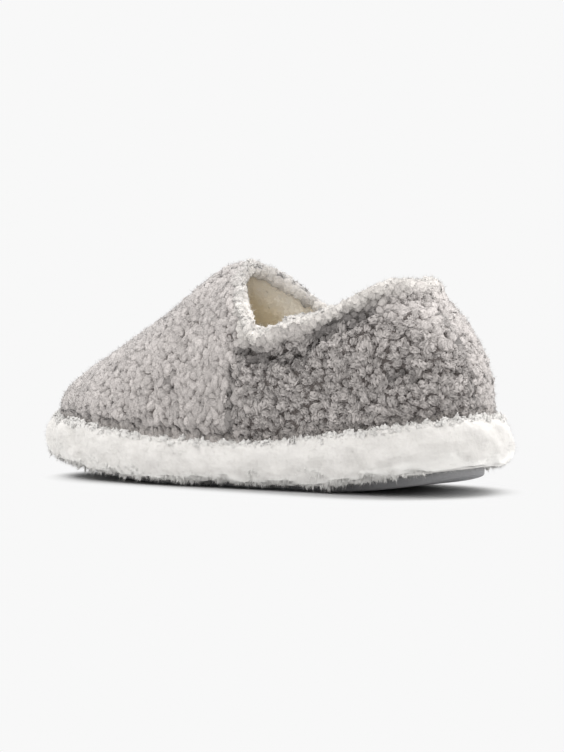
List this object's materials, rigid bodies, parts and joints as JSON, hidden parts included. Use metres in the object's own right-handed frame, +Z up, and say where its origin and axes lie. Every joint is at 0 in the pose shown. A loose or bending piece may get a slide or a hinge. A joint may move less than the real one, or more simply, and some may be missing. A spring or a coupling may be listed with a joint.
{
  "type": "house shoe",
  "caption": "Closed house shoe with a rolled collar, a hollow curly plush upper, fleece lining and a thick plush-wrapped sole on a thin rubber outsole.",
  "frame": {"origin": "on the floor, under the middle of the shoe's bounding box", "axes": "+Z up, toe towards -Y, heel towards +Y, outer (lateral) side of the left foot towards +X"},
  "size_m": [0.1048, 0.2744, 0.1105],
  "materials": {
    "outsole": "matt",
    "midsole": "long white plush",
    "insole": "cream fleece",
    "upper": "grey curly plush"
  },
  "bodies": {
    "root": {"outsole": "outsole", "midsole": "midsole", "insole": "insole", "upper": "upper"}
  },
  "joints": []
}
